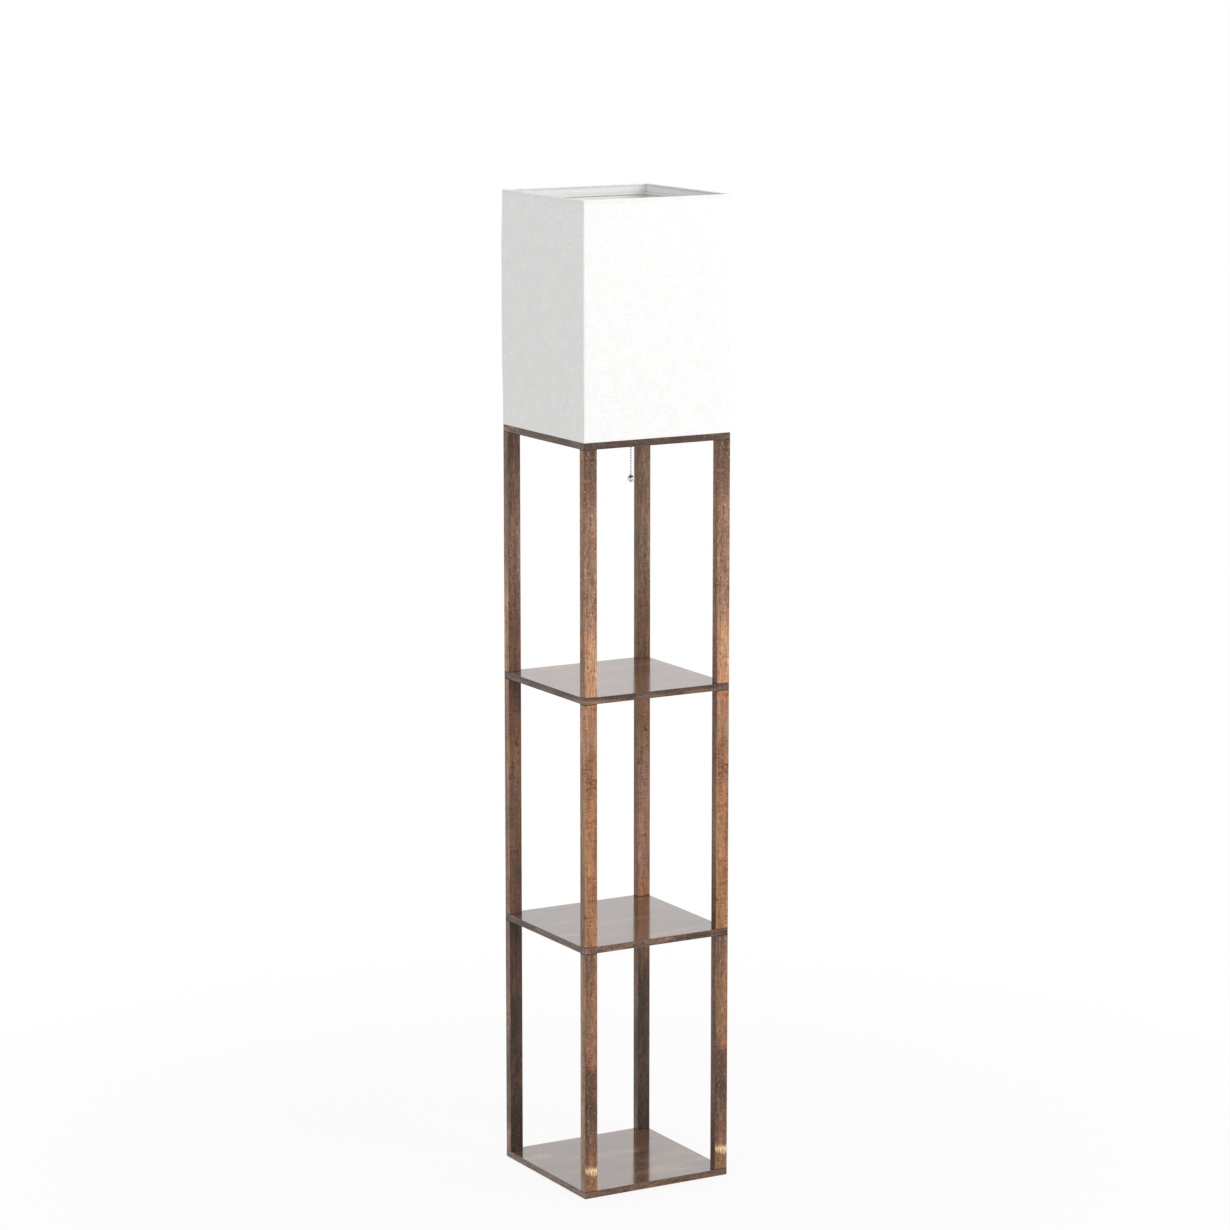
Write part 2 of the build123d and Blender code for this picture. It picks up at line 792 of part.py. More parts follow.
with BuildPart() as ball_collar:
    with BuildSketch(Plane.XY.offset(collar_top)):
        with Locations((chain_offset, 0)):
            Circle(collar_top_diameter / 2)
    with BuildSketch(Plane.XY.offset(collar_top - collar_height)):
        with Locations((chain_offset, 0)):
            Circle(collar_diameter / 2)
    loft()
save(ball_collar, "ball_collar")

with BuildPart() as pull_ball:
    # the collar sits on a flat across the top of the ball
    with Locations((chain_offset, 0, ball_level)):
        Sphere(ball_diameter / 2)
    split(bisect_by=Plane.XY.offset(ball_level + ball_flat), keep=Keep.BOTTOM)
save(pull_ball, "pull_ball")


# Eyelet and gland in the top board


def flanged_sleeve(label, spot, bore, wall, flange, lip):
    """A sleeve through the top board, with a flange on each of its faces."""
    sleeve_bottom = top_board_bottom - lip
    with BuildPart() as sleeve:
        for bottom, height, radius in (
            (sleeve_bottom, lip, bore / 2 + wall + flange),
            (top_board_bottom, board_thickness, bore / 2 + wall),
            (board_top, lip, bore / 2 + wall + flange),
        ):
            with BuildSketch(Plane.XY.offset(bottom)):
                with Locations(spot):
                    Circle(radius)
            extrude(amount=height)
        ends = sleeve.faces().sort_by(Axis.Z)
        fillet(ends[0].edges() + ends[-1].edges(), lip / 2)
        with BuildSketch(Plane.XY.offset(sleeve_bottom)):
            with Locations(spot):
                Circle(bore / 2)
        extrude(amount=board_thickness + 2 * lip, mode=Mode.SUBTRACT)
    save(sleeve, label)


flanged_sleeve("chain_eyelet", (chain_offset, 0), eyelet_bore, eyelet_wall, eyelet_flange, eyelet_lip)
flanged_sleeve("cord_gland", (0, gland_y), gland_bore, gland_wall, gland_flange, gland_lip)

# What the record needs to know of the joints, in millimetres and radians
print("lever pivot", lever_pivot, lever_level, "turns", lever_turn, "radians in a pull of", chain_pull)
print("swivel", swivel_level, "end pivot", end_level, "ball centre", ball_level, "chain at", chain_offset)
print("spring stands on", room_bottom, "bulb top", bulb_tip + bulb_height, "whole height", shade_top)
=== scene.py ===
# Shelf floor lamp: a square linen shade on three open bays of laminated wood.
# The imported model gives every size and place, this script gives the finish and the cloth.
import math

import bmesh
import bpy
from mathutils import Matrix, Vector, noise


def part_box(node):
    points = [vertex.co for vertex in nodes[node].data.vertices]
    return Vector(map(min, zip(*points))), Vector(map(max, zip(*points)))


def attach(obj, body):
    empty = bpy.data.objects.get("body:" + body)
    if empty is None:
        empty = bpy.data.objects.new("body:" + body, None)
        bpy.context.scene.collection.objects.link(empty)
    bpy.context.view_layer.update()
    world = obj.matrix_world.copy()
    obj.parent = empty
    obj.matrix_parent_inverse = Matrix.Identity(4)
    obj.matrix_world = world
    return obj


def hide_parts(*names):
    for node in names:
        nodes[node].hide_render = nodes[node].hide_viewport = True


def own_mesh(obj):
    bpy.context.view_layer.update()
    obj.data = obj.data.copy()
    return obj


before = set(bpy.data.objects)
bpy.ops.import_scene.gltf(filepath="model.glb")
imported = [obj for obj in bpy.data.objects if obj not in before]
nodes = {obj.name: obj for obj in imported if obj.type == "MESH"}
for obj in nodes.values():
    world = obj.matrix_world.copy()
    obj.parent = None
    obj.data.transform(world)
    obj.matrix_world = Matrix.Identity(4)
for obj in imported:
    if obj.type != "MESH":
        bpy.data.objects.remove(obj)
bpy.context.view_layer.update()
mm = 0.001  # a millimetre, in scene units
noiseLow, noiseHigh = 0.3, 0.7  # values that a noise texture seldom passes
print("frame loaded:", len(nodes), "nodes")


def toLinear(hexColour):  # "#rrggbb" as shown on screen, to linear light
    channels = [int(hexColour[i:i + 2], 16) / 255 for i in (1, 3, 5)]
    linear = [c / 12.92 if c <= 0.04045 else ((c + 0.055) / 1.055) ** 2.4 for c in channels]
    return (*linear, 1.0)


# inputs: socket name or number -> a value, or a socket or node to link from; settings are the node's own
def addNode(tree, kind, inputs=None, stops=None, **settings):
    node = tree.nodes.new("ShaderNode" + kind)
    for setting, value in settings.items():
        setattr(node, setting, value)
    if stops:
        marks = node.color_ramp.elements
        while len(marks) < len(stops):
            marks.new(1.0)
        for mark, (place, colour) in zip(marks, stops):
            mark.position = place
            mark.color = colour
    sockets = [socket for socket in node.inputs if socket.enabled]
    for key, value in (inputs or {}).items():
        socket = sockets[key] if isinstance(key, int) else next(s for s in sockets if s.name == key)
        if isinstance(value, bpy.types.Node):
            value = next(s for s in value.outputs if s.enabled)
        if isinstance(value, bpy.types.NodeSocket):
            tree.links.new(value, socket)
        else:
            socket.default_value = value
    return node


def startMaterial(name):
    material = bpy.data.materials.new(name)
    material.use_nodes = True
    material.node_tree.nodes.clear()
    return material, material.node_tree


def paint(material, *pieces):
    for piece in pieces:
        mesh = piece.data
        mesh.materials.clear()
        mesh.materials.append(material)


# where a point of the surface lies, in mm, and the way it looks
def surfacePoint(tree):
    where = addNode(tree, "TexCoord")
    spot = addNode(tree, "VectorMath", {0: where.outputs["Object"], "Scale": 1 / mm}, operation="SCALE")
    return spot, where.outputs["Normal"]


# soft noise whose size is given in mm along each axis; another seed gives another place in it
def stretchedNoise(tree, spot, size, seed=0.0, detail=2.0, roughness=0.5, distortion=0.0):
    laid = addNode(tree, "VectorMath", {0: spot, 1: [1 / length for length in size], 2: (seed, seed, seed)},
                   operation="MULTIPLY_ADD")
    return addNode(tree, "TexNoise", {"Vector": laid, "Scale": 1.0, "Detail": detail, "Roughness": roughness,
                                      "Distortion": distortion})


# 1 on the surfaces that look along the axis, either way, and 0 on the others
def looksAlong(tree, axis, normal, least=0.5):
    parts = addNode(tree, "SeparateXYZ", {0: normal})
    size = addNode(tree, "Math", {0: parts.outputs[axis]}, operation="ABSOLUTE")
    return addNode(tree, "Math", {0: size, 1: least}, operation="GREATER_THAN")


view = dict(
    place=(-3.27184, -5.73174, 2.09859),  # metres; in front, to the left, half a metre above the lamp's top
    tilt=79.875,  # degrees from straight down
    turn=-29.706,  # degrees about the vertical
    lens=122.30,  # mm
    sensor=36.0,  # mm
    sight=60.0,  # metres, the farthest thing it shows
)


def setCamera():
    camera = bpy.data.cameras.new("photoView")
    camera.lens = view["lens"]
    camera.sensor_width = view["sensor"]
    camera.clip_end = view["sight"]
    holder = bpy.data.objects.new("photoView", camera)
    holder.location = view["place"]
    holder.rotation_euler = (math.radians(view["tilt"]), 0, math.radians(view["turn"]))
    bpy.context.scene.collection.objects.link(holder)
    bpy.context.scene.camera = holder


studio = dict(
    floorSide=14.0,  # metres
    floorColour="#dddcda",
    floorGlow=0.90,  # share of the floor beside the lamp that shows as plain white, so a soft shadow stays
    glowNear=0.5, glowFar=1.6,  # metres from the lamp, between which the rest of the floor turns plain white
    skyLight=0.84,  # what the white surroundings give to matt surfaces
    keySide=2.6,  # metres
    keyPlace=(2.3, -4.4, 3.1),
    keyAim=(0.0, 0.0, 0.9),
    keyPower=112.0,  # watts
)


# 1 for what the camera sees, straight, mirrored or through glass; 0 for the light that falls on matt surfaces
def seenDirectly(tree):
    path = addNode(tree, "LightPath")
    seen = addNode(tree, "Math", {0: path.outputs["Is Camera Ray"], 1: path.outputs["Is Glossy Ray"]},
                   operation="MAXIMUM")
    return addNode(tree, "Math", {0: seen, 1: path.outputs["Is Transmission Ray"]}, operation="MAXIMUM")


def setSurroundings():
    world = bpy.data.worlds.new("softSurroundings")
    world.use_nodes = True
    tree = world.node_tree
    tree.nodes.clear()
    strength = addNode(tree, "MapRange", {"Value": seenDirectly(tree), "To Min": studio["skyLight"],
                                          "To Max": 1.0})
    glow = addNode(tree, "Background", {"Color": (1, 1, 1, 1), "Strength": strength})
    addNode(tree, "OutputWorld", {"Surface": glow})
    bpy.context.scene.world = world


# pale matt floor: it keeps a soft shadow round the lamp and runs out into plain white
def layFloor():
    half = studio["floorSide"] / 2
    corners = [(-half, -half, 0), (half, -half, 0), (half, half, 0), (-half, half, 0)]
    mesh = bpy.data.meshes.new("studioFloor")
    mesh.from_pydata(corners, [], [(0, 1, 2, 3)])
    floor = bpy.data.objects.new("studioFloor", mesh)
    bpy.context.scene.collection.objects.link(floor)
    material, tree = startMaterial("paleFloor")
    where = addNode(tree, "TexCoord")
    away = addNode(tree, "VectorMath", {0: where.outputs["Object"]}, operation="LENGTH")
    glow = addNode(tree, "MapRange", {
        "Value": away.outputs["Value"], "From Min": studio["glowNear"], "From Max": studio["glowFar"],
        "To Min": studio["floorGlow"], "To Max": 1.0}, interpolation_type="SMOOTHSTEP")
    share = addNode(tree, "Math", {0: seenDirectly(tree), 1: glow}, operation="MULTIPLY")
    matt = addNode(tree, "BsdfDiffuse", {"Color": toLinear(studio["floorColour"])})
    white = addNode(tree, "Emission", {"Strength": 1.0})
    surface = addNode(tree, "MixShader", {0: share, 1: matt, 2: white})
    addNode(tree, "OutputMaterial", {"Surface": surface})
    paint(material, floor)


def hangKeyLight():
    light = bpy.data.lights.new("softKey", "AREA")
    light.shape = "SQUARE"
    light.size = studio["keySide"]
    light.energy = studio["keyPower"]
    key = bpy.data.objects.new("softKey", light)
    key.location = studio["keyPlace"]
    aim = Vector(studio["keyAim"]) - Vector(studio["keyPlace"])
    key.rotation_euler = aim.to_track_quat("-Z", "Y").to_euler()
    bpy.context.scene.collection.objects.link(key)


bpy.context.scene.view_settings.view_transform = "Standard"
setCamera()
setSurroundings()
layFloor()
hangKeyLight()
print("camera, floor and light set")


# tones of the printed foil, dark to worn, then the greyer ones
foil = dict(
    soot="#1d120d", charcoal="#38271b", umber="#48362a", walnut="#5a4334", tobacco="#6b4f3c",
    saddle="#866249", copper="#9e6f4e", cedar="#a97851", rose="#a37963", clay="#936f5b",
    amber="#ba8c69", straw="#dcb896", honey="#f0cba0",
    bark="#5f4b40", smoke="#6b594d", dusk="#785c4b", stone="#7b665a", hazel="#876b56", ash="#927762",
    mist="#a5866f",
)

# the print's patterns: size in mm along the grain and across it, and seed of the noise. A mark starts at one
# value of the noise and is full at the other; fade: between which values of the drift it fades, and to what
# share. Pores and flecks are drawn wider than the real 0.3 mm, to show
grain = dict(
    band=dict(size=(95.0, 6.0), seed=3.0),
    streak=dict(size=(22.0, 2.1), seed=21.0),
    mottle=dict(size=(9.0, 5.0), seed=13.0, detail=5.0, roughness=0.75),
    drift=dict(size=(34.0, 9.0), seed=5.0, detail=3.0, roughness=0.55),
    saw=dict(size=(2.6, 22.0), seed=8.0, start=0.50, full=0.36, fade=(0.40, 0.60, 0.2)),
    fleck=dict(size=(4.0, 2.3), seed=55.0, detail=2.0, roughness=0.5, start=0.60, full=0.70),
    pore=dict(size=(6.5, 2.4), seed=34.0, detail=3.0, start=0.42, full=0.32),
    crack=dict(size=(3.2, 15.0), seed=89.0, start=0.045, full=0.012, fade=(0.44, 0.56, 0.1)),
)
printing = dict(
    detail=4.0, roughness=0.65,  # of the noise, where a pattern states no other
    paleFrom=0.34, paleTo=0.66,  # values of the noise at which bands, streaks and mottle are dark and pale
    # the drift's changes of hue, from red patches to golden ones
    hues=[(0.36, (1.15, 0.89, 0.87, 1)), (0.46, (1.03, 1, 0.98, 1)), (0.54, (1, 1, 0.97, 1)),
          (0.64, (1.0, 1.01, 0.85, 1))],
)


def rampOf(tones):
    return [(place, toLinear(foil[tone])) for place, tone in tones]


# old timber as printed: bands and streaks along the grain, patches of red and gold, saw marks, pores, pale
# flecks and fine cracks. spot runs in mm: along the grain, across it, through the board
def agePrint(tree, spot, tone, look, crackShare):
    def pattern(kind):
        along, across = grain[kind]["size"]
        detail = grain[kind].get("detail", printing["detail"])
        roughness = grain[kind].get("roughness", printing["roughness"])
        return stretchedNoise(tree, spot, (along, across, across), grain[kind]["seed"], detail, roughness)

    drift = pattern("drift")
    streak = pattern("streak")
    hue = addNode(tree, "ValToRGB", {"Fac": drift}, stops=printing["hues"])
    tone = addNode(tree, "VectorMath", {0: tone, 1: hue}, operation="MULTIPLY")
    lightness = 1.0
    for source in (pattern("band"), streak, pattern("mottle")):
        change = addNode(tree, "MapRange", {
            "Value": source, "From Min": printing["paleFrom"], "From Max": printing["paleTo"],
            "To Min": 1 - look["contrast"], "To Max": 1 + look["contrast"]})
        lightness = addNode(tree, "Math", {0: lightness, 1: change}, operation="MULTIPLY")

    # a crack follows the middle contour of its noise
    contour = addNode(tree, "Math", {0: pattern("crack"), 1: 0.5}, operation="SUBTRACT")
    contour = addNode(tree, "Math", {0: contour}, operation="ABSOLUTE")
    sources = dict(saw=pattern("saw"), fleck=pattern("fleck"), pore=pattern("pore"), crack=contour)
    marks = {}
    for kind, source in sources.items():
        mark = addNode(tree, "MapRange", {
            "Value": source, "From Min": grain[kind]["start"], "From Max": grain[kind]["full"],
            "To Min": 0.0, "To Max": look[kind]})
        if "fade" in grain[kind]:
            start, end, least = grain[kind]["fade"]
            left = addNode(tree, "MapRange", {"Value": drift, "From Min": start, "From Max": end,
                                              "To Min": 1.0, "To Max": least})
            mark = addNode(tree, "Math", {0: mark, 1: left}, operation="MULTIPLY")
        marks[kind] = mark
    marks["crack"] = addNode(tree, "Math", {0: marks["crack"], 1: crackShare}, operation="MULTIPLY")

    sawn = addNode(tree, "Math", {0: lightness, 1: marks["saw"]}, operation="MULTIPLY")
    lightness = addNode(tree, "Math", {0: lightness, 1: sawn}, operation="SUBTRACT")
    tone = addNode(tree, "VectorMath", {0: tone, "Scale": lightness}, operation="SCALE")
    for kind, colour in (("fleck", "straw"), ("pore", "soot"), ("crack", "soot")):
        tone = addNode(tree, "Mix", {"Factor": marks[kind], "A": tone, "B": toLinear(foil[colour])},
                       data_type="RGBA")
    relief = streak
    for kind in ("pore", "crack"):
        relief = addNode(tree, "Math", {0: relief, 1: marks[kind]}, operation="SUBTRACT")
    return tone, relief, streak


post = dict(
    wander=(14.0, 6.0),  # mm, size of the bends in a change of tone, along the grain and across it
    sway=0.010,  # how far it bends, as a share of the height
    slant=0.012,  # how far it climbs across a face, as a share of the height
    flankWarmth=(1.18, 1.10, 0.98),  # the narrow sides are printed a little paler and warmer
    crackNear=0.04, crackFar=0.16,  # shares of the height over which the fine cracks thin out
    crackLeast=0.3,  # what is left of them beyond
    rub=1.0,  # mm, paler line along the long corners: partly worn foil, partly a painted highlight
    wearAndHighlightShare=0.4,
    joint=1.6,  # mm, shadow line where a post meets a board
    jointShade=0.95,
    roughness=0.36,
    glossChange=0.06,
    gloss=0.30,  # paper under a thin matt lacquer mirrors little
    ior=1.5,
    relief=0.03,  # mm
    backFlecks=0.3,  # the darker print of the back row shows fewer pale flecks
    backShift=(55, 140, 0),  # mm
)

# how the print changes with height, from 0 at a post's foot to 1 at its head: on the wide faces, then on the
# narrow sides
facePrint = dict(
    lowerFront=[(0.0, "saddle"), (0.066, "saddle"), (0.082, "honey"), (0.091, "honey"), (0.110, "saddle"),
                (0.22, "tobacco"), (0.36, "walnut"), (0.50, "tobacco"), (0.53, "saddle"), (0.80, "saddle"),
                (1.0, "dusk")],
    middleFront=[(0.0, "cedar"), (0.12, "cedar"), (0.21, "copper"), (0.29, "cedar"), (0.42, "copper"),
                 (0.60, "cedar"), (0.70, "copper"), (0.79, "copper"), (0.88, "rose"), (1.0, "cedar")],
    upperFront=[(0.0, "amber"), (0.24, "amber"), (0.275, "rose"), (0.46, "clay"), (0.70, "clay"),
                (0.80, "dusk"), (0.90, "tobacco"), (1.0, "walnut")],
    lowerBack=[(0.0, "charcoal"), (0.18, "charcoal"), (0.30, "umber"), (0.66, "umber"), (0.69, "walnut"),
               (0.84, "walnut"), (1.0, "umber")],
    lowerBackRight=[(0.0, "charcoal"), (0.30, "umber"), (0.66, "umber"), (0.69, "umber"), (0.80, "tobacco"),
                    (1.0, "dusk")],
    middleBack=[(0.0, "tobacco"), (0.08, "tobacco"), (0.18, "walnut"), (0.30, "tobacco"), (0.44, "tobacco"),
                (0.54, "dusk"), (0.66, "saddle"), (0.84, "saddle"), (0.93, "tobacco"), (1.0, "walnut")],
    middleBackRight=[(0.0, "cedar"), (0.15, "clay"), (0.52, "clay"), (0.70, "saddle"), (0.84, "saddle"),
                     (0.90, "walnut"), (1.0, "walnut")],
    upperBack=[(0.0, "tobacco"), (0.24, "tobacco"), (0.38, "dusk"), (0.50, "hazel"), (0.62, "hazel"),
               (0.70, "dusk"), (0.80, "hazel"), (0.88, "dusk"), (1.0, "dusk")],
)
sidePrint = dict(
    lowerFrontLeft=[(0.0, "ash"), (1.0, "ash")],
    middleFrontLeft=[(0.0, "dusk"), (0.2, "dusk"), (0.5, "ash"), (0.72, "ash"), (0.82, "mist"),
                     (1.0, "mist")],
    upperFrontLeft=[(0.0, "hazel"), (0.12, "dusk"), (0.34, "hazel"), (1.0, "hazel")],
    lowerFrontRight=[(0.0, "walnut"), (0.12, "walnut"), (0.3, "bark"), (1.0, "tobacco")],
    middleFrontRight=[(0.0, "walnut"), (0.2, "bark"), (0.31, "smoke"), (0.42, "stone"), (0.6, "dusk"),
                      (0.72, "tobacco"), (1.0, "tobacco")],
    upperFrontRight=[(0.0, "dusk"), (0.5, "saddle"), (1.0, "saddle")],
    lowerBackLeft=[(0.0, "stone"), (0.06, "mist"), (0.12, "smoke"), (0.35, "bark"), (0.52, "stone"),
                   (1.0, "stone")],
    middleBackLeft=[(0.0, "hazel"), (0.28, "hazel"), (0.42, "stone"), (0.55, "ash"), (0.85, "hazel"),
                    (1.0, "ash")],
    upperBackLeft=[(0.0, "mist"), (0.3, "mist"), (0.42, "ash"), (0.55, "stone"), (1.0, "smoke")],
    lowerBackRight=[(0.0, "stone"), (0.15, "walnut"), (0.4, "umber"), (0.55, "smoke"), (1.0, "tobacco")],
    middleBackRight=[(0.0, "saddle"), (0.4, "dusk"), (1.0, "tobacco")],
    upperBackRight=[(0.0, "dusk"), (0.4, "dusk"), (0.5, "smoke"), (0.6, "dusk"), (1.0, "tobacco")],
)
# shift of the print in mm, how strong its marks are, its lightness from the left edge of a face to the right,
# and where on the height its fine cracks gather
tiers = dict(
    lower=dict(shift=(0, 0, 0), contrast=0.32, saw=0.16, pore=0.75, fleck=0.40, crack=0.55, crackAt=0.55,
               lean=(0.84, 1.12)),
    middle=dict(shift=(430, 61, 17), contrast=0.20, saw=0.50, pore=0.75, fleck=0.25, crack=0.95, crackAt=0.68,
                lean=(1.06, 0.92)),
    upper=dict(shift=(910, 23, 88), contrast=0.30, saw=0.20, pore=0.75, fleck=0.60, crack=0.55, crackAt=0.40,
               lean=(0.82, 1.14)),
)


# paper foil printed with old timber, pressed on board under matt lacquer: low gloss, and a paler line on the
# long corners, partly rubbed and partly a painted highlight.
# The two posts of a row share their marks, as they do where both are cut from one repeat of the print
def makePostFoil(tier, row, side):
    look = dict(tiers[tier])
    shift = Vector(look["shift"])
    if row == "back":
        look["fleck"] *= post["backFlecks"]
        shift += Vector(post["backShift"])
    name = f"{tier}_post_{row}_{side}"
    low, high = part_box(name)
    size = (high - low) / mm
    material, tree = startMaterial("rusticFoil_" + name)
    where = addNode(tree, "TexCoord")
    share = addNode(tree, "SeparateXYZ", {0: where.outputs["Generated"]})
    centred = addNode(tree, "VectorMath", {0: where.outputs["Generated"], 1: (-0.5, -0.5, -0.5)},
                      operation="ADD")
    local = addNode(tree, "VectorMath", {0: centred, 1: size}, operation="MULTIPLY")
    outward = addNode(tree, "VectorMath", {0: local}, operation="ABSOLUTE")
    inset = addNode(tree, "VectorMath", {0: size / 2, 1: outward}, operation="SUBTRACT")
    inset = addNode(tree, "SeparateXYZ", {0: inset})
    axes = addNode(tree, "SeparateXYZ", {0: local})
    spot = addNode(tree, "CombineXYZ", {0: axes.outputs["Z"], 1: axes.outputs["X"], 2: axes.outputs["Y"]})
    spot = addNode(tree, "VectorMath", {0: spot, 1: shift}, operation="ADD")
    onSide = looksAlong(tree, "X", where.outputs["Normal"])

    # the print's changes of tone bend and run a little aslant
    along, across = post["wander"]
    wander = stretchedNoise(tree, spot, (along, across, across), detail=5.0, roughness=0.7)
    bend = addNode(tree, "MapRange", {"Value": wander, "From Min": noiseLow, "From Max": noiseHigh,
                                      "To Min": -post["sway"], "To Max": post["sway"]})
    slant = addNode(tree, "Math", {0: share.outputs["X"], 1: post["slant"], 2: -post["slant"] / 2},
                    operation="MULTIPLY_ADD")
    height = addNode(tree, "Math", {0: share.outputs["Z"], 1: bend}, operation="ADD")
    height = addNode(tree, "Math", {0: height, 1: slant}, operation="ADD")
    rowKey = tier + row.title()
    postKey = rowKey + side.title()
    faceTones = facePrint.get(postKey, facePrint[rowKey])
    face = addNode(tree, "ValToRGB", {"Fac": height}, stops=rampOf(faceTones))
    flank = addNode(tree, "ValToRGB", {"Fac": height}, stops=rampOf(sidePrint[postKey]))
    flank = addNode(tree, "VectorMath", {0: flank, 1: post["flankWarmth"]}, operation="MULTIPLY")
    tone = addNode(tree, "Mix", {"Factor": onSide, "A": face, "B": flank}, data_type="RGBA")
    acrossFace = addNode(tree, "Mix", {"Factor": onSide, "A": share.outputs["X"], "B": share.outputs["Y"]},
                         data_type="FLOAT")
    left, right = look["lean"]
    lean = addNode(tree, "MapRange", {"Value": acrossFace, "To Min": left, "To Max": right})
    tone = addNode(tree, "VectorMath", {0: tone, "Scale": lean}, operation="SCALE")
    fromCracks = addNode(tree, "Math", {0: share.outputs["Z"], 1: look["crackAt"]}, operation="SUBTRACT")
    fromCracks = addNode(tree, "Math", {0: fromCracks}, operation="ABSOLUTE")
    gathered = addNode(tree, "MapRange", {
        "Value": fromCracks, "From Min": post["crackNear"], "From Max": post["crackFar"],
        "To Min": 1.0, "To Max": post["crackLeast"]})
    tone, relief, streak = agePrint(tree, spot, tone, look, gathered)

    fromCorner = addNode(tree, "Math", {0: inset.outputs["X"], 1: inset.outputs["Y"]}, operation="MAXIMUM")
    # paler line along the long corners: partly worn foil, partly a painted highlight on the edge
    wearAndCornerHighlight = addNode(tree, "MapRange", {"Value": fromCorner, "From Min": post["rub"], "From Max": 0.0,
                                        "To Max": post["wearAndHighlightShare"]})
    wearAndCornerHighlight = addNode(tree, "Math", {0: wearAndCornerHighlight, 1: wander}, operation="MULTIPLY")
    tone = addNode(tree, "Mix", {"Factor": wearAndCornerHighlight, "A": tone, "B": toLinear(foil["ash"])},
                   data_type="RGBA")
    # painted shadow line where the post meets a board
    jointShadow = addNode(tree, "MapRange", {"Value": inset.outputs["Z"], "From Min": post["joint"], "From Max": 0.0,
                                      "To Max": post["jointShade"]})
    tone = addNode(tree, "Mix", {"Factor": jointShadow, "A": tone, "B": toLinear(foil["soot"])}, data_type="RGBA")

    roughness = addNode(tree, "MapRange", {
        "Value": streak, "From Min": noiseLow, "From Max": noiseHigh,
        "To Min": post["roughness"] + post["glossChange"], "To Max": post["roughness"] - post["glossChange"]})
    bump = addNode(tree, "Bump", {"Height": relief, "Strength": 0.6, "Distance": post["relief"] * mm})
    surface = addNode(tree, "BsdfPrincipled", {
        "Base Color": tone, "Roughness": roughness, "IOR": post["ior"], "Specular IOR Level": post["gloss"],
        "Normal": bump})
    addNode(tree, "OutputMaterial", {"Surface": surface})
    paint(material, nodes[name])


for tier in tiers:
    for row in ("front", "back"):
        for side in ("left", "right"):
            makePostFoil(tier, row, side)
print("posts papered")


board = dict(
    plank=(120.0, 26.0),  # mm, broad bands of the print, along the grain and across it
    # values of the bands' noise at which the print is dark, starts and ends its middle tone, and is light
    facePlaces=(0.32, 0.46, 0.56, 0.68),
    edgePlaces=(0.36, 0.48, 0.54, 0.66),
    flankPlaces=(0.36, 0.46, 0.56, 0.66),
    warmth=(1.12, 0.96, 0.72),  # the faces are printed warmer, which shows through the white that they mirror
    arris=1.6,  # mm, painted shade: a dark line along the upper and lower corners of the edge strips, deepening the joints with the posts
    arrisShade=0.45, stripShade=1.08,  # lightness of that line and of the rest of the strip
    roughness=0.15,
    glossChange=0.04,
    gloss=0.42,
    ior=1.5,
    coatRoughness=0.08,
    relief=0.01,  # mm
    contrast=0.30, saw=0.05, pore=0.6, fleck=0.12, crack=0.45,
    edgeCracks=1.9,  # the edge strips show about twice the cracks of the faces
)
# for each board: shift of the print in mm, strength of the lacquer's mirror, and the dark, middle and light
# tones of its faces, of its front and back edge strips and of its two flanks
boardLooks = {
    "base_board": dict(shift=(0, 0, 0), coat=1.0, face=("charcoal", "walnut", "saddle"),
                       edge=("umber", "tobacco", "saddle"), flank=("umber", "stone", "mist")),
    "lower_shelf": dict(shift=(300, 41, 0), coat=0.82, face=("umber", "walnut", "saddle"),
                        edge=("umber", "dusk", "cedar"), flank=("umber", "smoke", "mist")),
    "middle_shelf": dict(shift=(610, 77, 0), coat=0.52, face=("umber", "tobacco", "saddle"),
                         edge=("umber", "dusk", "cedar"), flank=("umber", "smoke", "mist")),
    "top_board": dict(shift=(90, 150, 0), coat=0.35, face=("umber", "tobacco", "saddle"),
                      edge=("umber", "umber", "tobacco"), flank=("umber", "bark", "mist")),
}


